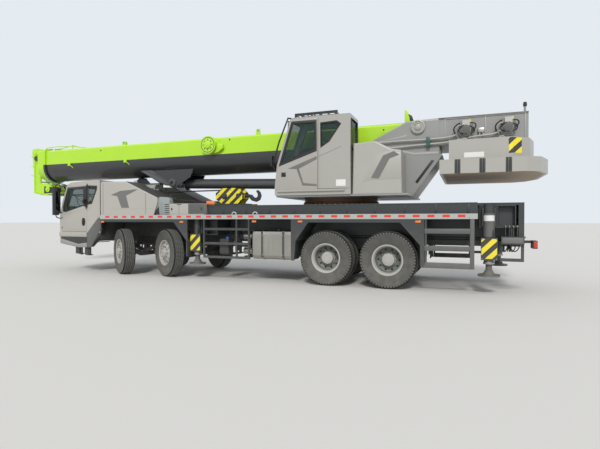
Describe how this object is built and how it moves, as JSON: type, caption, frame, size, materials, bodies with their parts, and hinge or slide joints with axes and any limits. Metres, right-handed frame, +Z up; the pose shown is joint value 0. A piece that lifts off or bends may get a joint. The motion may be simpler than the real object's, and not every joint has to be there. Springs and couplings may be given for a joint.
{
  "type": "mobile crane",
  "caption": "Truck crane with a telescopic boom on a slewing superstructure, steered front axles, twin-tyred rear axles and outriggers.",
  "frame": {"origin": "on the ground, on the carrier's centre plane, midway between the counterweight's rear face and the boom head's front", "axes": "+X forward along the boom, +Y to the vehicle's left, +Z up"},
  "size_m": [14.68, 3.1434, 3.85],
  "materials": {
    "grey_paint": "satin warm light grey paint",
    "cream_paint": "satin creamy light grey paint",
    "lime_paint": "gloss lime green paint",
    "dark_paint": "satin dark grey paint",
    "tyre": "black tyre rubber on painted rims",
    "tank_metal": "weathered bare aluminium",
    "chrome_rod": "polished piston rod",
    "barrel_paint": "satin dark grey paint",
    "hook_yellow": "yellow paint with black bands",
    "cast_iron": "black painted casting",
    "glass": "greenish tinted glass",
    "interior_plastic": "matt dark plastic and vinyl"
  },
  "bodies": {
    "carrier": {"chassis_frame": "dark_paint", "outrigger_boxes": "dark_paint", "deck": "dark_paint", "fenders": "dark_paint", "engine_covers": "cream_paint", "engine_and_driveline": "cast_iron", "side_tanks": "tank_metal", "guards": "dark_paint", "boom_rest": "dark_paint", "slew_ring": "dark_paint", "outrigger_controls": "dark_paint", "lamps": "interior_plastic", "front_axles": "cast_iron", "rear_axles": "cast_iron", "carrier_cab_shell": "cream_paint", "carrier_cab_glass": "glass", "carrier_cab_interior": "interior_plastic", "cab_fittings": "dark_paint"},
    "knuckle_1_left": {"knuckle_1_left": "cast_iron"},
    "wheel_1_left": {"wheel_1_left": "tyre"},
    "knuckle_1_right": {"knuckle_1_right": "cast_iron"},
    "wheel_1_right": {"wheel_1_right": "tyre"},
    "knuckle_2_left": {"knuckle_2_left": "cast_iron"},
    "wheel_2_left": {"wheel_2_left": "tyre"},
    "knuckle_2_right": {"knuckle_2_right": "cast_iron"},
    "wheel_2_right": {"wheel_2_right": "tyre"},
    "wheel_3_left": {"wheel_3_left": "tyre"},
    "wheel_3_right": {"wheel_3_right": "tyre"},
    "wheel_4_left": {"wheel_4_left": "tyre"},
    "wheel_4_right": {"wheel_4_right": "tyre"},
    "superstructure": {"superstructure_frame": "grey_paint", "winches": "grey_paint", "counterweight": "grey_paint", "machine_covers": "cream_paint", "operator_cab_shell": "grey_paint", "operator_cab_glass": "glass", "operator_cab_interior": "interior_plastic"},
    "boom_base": {"boom_base": "lime_paint"},
    "luffing_barrel": {"luffing_barrel": "barrel_paint"},
    "luffing_rod": {"luffing_rod": "chrome_rod"},
    "boom_section_2": {"boom_section_2": "lime_paint"},
    "boom_section_3": {"boom_section_3": "lime_paint"},
    "boom_section_4": {"boom_section_4": "lime_paint"},
    "boom_section_5": {"boom_section_5": "lime_paint"},
    "hook_block": {"hook_block": "hook_yellow"},
    "carrier_door_left": {"carrier_door_left": "cream_paint"},
    "carrier_door_right": {"carrier_door_right": "cream_paint"},
    "operator_door": {"operator_door": "grey_paint"},
    "outrigger_outer_front_left": {"outrigger_outer_front_left": "dark_paint"},
    "outrigger_inner_front_left": {"outrigger_inner_front_left": "dark_paint"},
    "jack_foot_front_left": {"jack_foot_front_left": "chrome_rod"},
    "outrigger_outer_front_right": {"outrigger_outer_front_right": "dark_paint"},
    "outrigger_inner_front_right": {"outrigger_inner_front_right": "dark_paint"},
    "jack_foot_front_right": {"jack_foot_front_right": "chrome_rod"},
    "outrigger_outer_rear_left": {"outrigger_outer_rear_left": "dark_paint"},
    "outrigger_inner_rear_left": {"outrigger_inner_rear_left": "dark_paint"},
    "jack_foot_rear_left": {"jack_foot_rear_left": "chrome_rod"},
    "outrigger_outer_rear_right": {"outrigger_outer_rear_right": "dark_paint"},
    "outrigger_inner_rear_right": {"outrigger_inner_rear_right": "dark_paint"},
    "jack_foot_rear_right": {"jack_foot_rear_right": "chrome_rod"}
  },
  "joints": [
    {"name": "steer_1_left", "type": "hinge", "parent": "carrier", "child": "knuckle_1_left", "pos_m": [2.77, 1.06, 0.61], "axis": [0, 0, 1], "range_deg": [-3, 69]},
    {"name": "spin_1_left", "type": "hinge", "parent": "knuckle_1_left", "child": "wheel_1_left", "pos_m": [2.82446, 1.14387, 0.61], "axis": [0.5446, 0.8387, 0], "continuous": true},
    {"name": "steer_1_right", "type": "hinge", "parent": "carrier", "child": "knuckle_1_right", "pos_m": [2.77, -1.06, 0.61], "axis": [0, 0, 1], "range_deg": [-3, 69]},
    {"name": "spin_1_right", "type": "hinge", "parent": "knuckle_1_right", "child": "wheel_1_right", "pos_m": [2.71554, -1.14387, 0.61], "axis": [0.5446, 0.8387, 0], "continuous": true},
    {"name": "steer_2_left", "type": "hinge", "parent": "carrier", "child": "knuckle_2_left", "pos_m": [1.3, 1.06, 0.61], "axis": [0, 0, 1], "range_deg": [-2.6, 58.6]},
    {"name": "spin_2_left", "type": "hinge", "parent": "knuckle_2_left", "child": "wheel_2_left", "pos_m": [1.34695, 1.14829, 0.61], "axis": [0.4695, 0.8829, 0], "continuous": true},
    {"name": "steer_2_right", "type": "hinge", "parent": "carrier", "child": "knuckle_2_right", "pos_m": [1.3, -1.06, 0.61], "axis": [0, 0, 1], "range_deg": [-2.6, 58.6]},
    {"name": "spin_2_right", "type": "hinge", "parent": "knuckle_2_right", "child": "wheel_2_right", "pos_m": [1.25305, -1.14829, 0.61], "axis": [0.4695, 0.8829, 0], "continuous": true},
    {"name": "spin_3_left", "type": "hinge", "parent": "carrier", "child": "wheel_3_left", "pos_m": [-2.94, 1.172, 0.61], "axis": [0, 1, 0], "continuous": true},
    {"name": "spin_3_right", "type": "hinge", "parent": "carrier", "child": "wheel_3_right", "pos_m": [-2.94, -1.172, 0.61], "axis": [0, 1, 0], "continuous": true},
    {"name": "spin_4_left", "type": "hinge", "parent": "carrier", "child": "wheel_4_left", "pos_m": [-4.29, 1.172, 0.61], "axis": [0, 1, 0], "continuous": true},
    {"name": "spin_4_right", "type": "hinge", "parent": "carrier", "child": "wheel_4_right", "pos_m": [-4.29, -1.172, 0.61], "axis": [0, 1, 0], "continuous": true},
    {"name": "slew", "type": "hinge", "parent": "carrier", "child": "superstructure", "pos_m": [-2.93, 0, 1.963], "axis": [0, 0, 1], "continuous": true},
    {"name": "boom_luff", "type": "hinge", "parent": "superstructure", "child": "boom_base", "pos_m": [-4.84, 0, 3.49], "axis": [0, -1, 0], "range_deg": [0, 80]},
    {"name": "barrel_swing", "type": "hinge", "parent": "superstructure", "child": "luffing_barrel", "pos_m": [-2.29, 0, 2.37], "axis": [0, -1, 0], "range_deg": [0, 91.7]},
    {"name": "rod_stroke", "type": "slide", "parent": "luffing_barrel", "child": "luffing_rod", "axis": [0.9996, 0, 0.0289], "range_m": [0, 3.409]},
    {"name": "telescope_2", "type": "slide", "parent": "boom_base", "child": "boom_section_2", "axis": [1, 0, 0], "range_m": [0, 8.7]},
    {"name": "telescope_3", "type": "slide", "parent": "boom_section_2", "child": "boom_section_3", "axis": [1, 0, 0], "range_m": [0, 8.7]},
    {"name": "telescope_4", "type": "slide", "parent": "boom_section_3", "child": "boom_section_4", "axis": [1, 0, 0], "range_m": [0, 8.7]},
    {"name": "telescope_5", "type": "slide", "parent": "boom_section_4", "child": "boom_section_5", "axis": [1, 0, 0], "range_m": [0, 8.7]},
    {"name": "hook_swing", "type": "hinge", "parent": "boom_base", "child": "hook_block", "pos_m": [6.65, 0.325, 2.43], "axis": [0, -1, 0], "range_deg": [0, 10.2]},
    {"name": "carrier_door_left_hinge", "type": "hinge", "parent": "carrier", "child": "carrier_door_left", "pos_m": [4.924, 1.302, 1.7], "axis": [0, 0, -1], "range_deg": [0, 70]},
    {"name": "carrier_door_right_hinge", "type": "hinge", "parent": "carrier", "child": "carrier_door_right", "pos_m": [4.924, -1.302, 1.7], "axis": [0, 0, 1], "range_deg": [0, 70]},
    {"name": "operator_door_slide", "type": "slide", "parent": "superstructure", "child": "operator_door", "axis": [-1, 0, 0], "range_m": [0, 0.6]},
    {"name": "beam_outer_front_left", "type": "slide", "parent": "carrier", "child": "outrigger_outer_front_left", "axis": [0, 1, 0], "range_m": [0, 1.25]},
    {"name": "beam_inner_front_left", "type": "slide", "parent": "outrigger_outer_front_left", "child": "outrigger_inner_front_left", "axis": [0, 1, 0], "range_m": [0, 1.25]},
    {"name": "jack_front_left", "type": "slide", "parent": "outrigger_inner_front_left", "child": "jack_foot_front_left", "axis": [0, 0, -1], "range_m": [0, 0.5]},
    {"name": "beam_outer_front_right", "type": "slide", "parent": "carrier", "child": "outrigger_outer_front_right", "axis": [0, -1, 0], "range_m": [0, 1.25]},
    {"name": "beam_inner_front_right", "type": "slide", "parent": "outrigger_outer_front_right", "child": "outrigger_inner_front_right", "axis": [0, -1, 0], "range_m": [0, 1.25]},
    {"name": "jack_front_right", "type": "slide", "parent": "outrigger_inner_front_right", "child": "jack_foot_front_right", "axis": [0, 0, -1], "range_m": [0, 0.5]},
    {"name": "beam_outer_rear_left", "type": "slide", "parent": "carrier", "child": "outrigger_outer_rear_left", "axis": [0, 1, 0], "range_m": [0, 1.25]},
    {"name": "beam_inner_rear_left", "type": "slide", "parent": "outrigger_outer_rear_left", "child": "outrigger_inner_rear_left", "axis": [0, 1, 0], "range_m": [0, 1.25]},
    {"name": "jack_rear_left", "type": "slide", "parent": "outrigger_inner_rear_left", "child": "jack_foot_rear_left", "axis": [0, 0, -1], "range_m": [0, 0.5]},
    {"name": "beam_outer_rear_right", "type": "slide", "parent": "carrier", "child": "outrigger_outer_rear_right", "axis": [0, -1, 0], "range_m": [0, 1.25]},
    {"name": "beam_inner_rear_right", "type": "slide", "parent": "outrigger_outer_rear_right", "child": "outrigger_inner_rear_right", "axis": [0, -1, 0], "range_m": [0, 1.25]},
    {"name": "jack_rear_right", "type": "slide", "parent": "outrigger_inner_rear_right", "child": "jack_foot_rear_right", "axis": [0, 0, -1], "range_m": [0, 0.5]}
  ],
  "couplings": [
    {"joint": "steer_1_right", "follows": "steer_1_left", "ratio": 1},
    {"joint": "steer_2_left", "follows": "steer_1_left", "ratio": 0.84849},
    {"joint": "steer_2_right", "follows": "steer_1_left", "ratio": 0.84849},
    {"joint": "barrel_swing", "follows": "boom_luff", "ratio": 1.1424},
    {"joint": "rod_stroke", "follows": "boom_luff", "m_per_rad": 2.4376},
    {"joint": "telescope_4", "follows": "telescope_3", "ratio": 1},
    {"joint": "telescope_5", "follows": "telescope_3", "ratio": 1},
    {"joint": "hook_swing", "follows": "boom_luff", "ratio": 0.125},
    {"joint": "beam_inner_front_left", "follows": "beam_outer_front_left", "ratio": 1},
    {"joint": "beam_inner_front_right", "follows": "beam_outer_front_right", "ratio": 1},
    {"joint": "beam_inner_rear_left", "follows": "beam_outer_rear_left", "ratio": 1},
    {"joint": "beam_inner_rear_right", "follows": "beam_outer_rear_right", "ratio": 1}
  ]
}
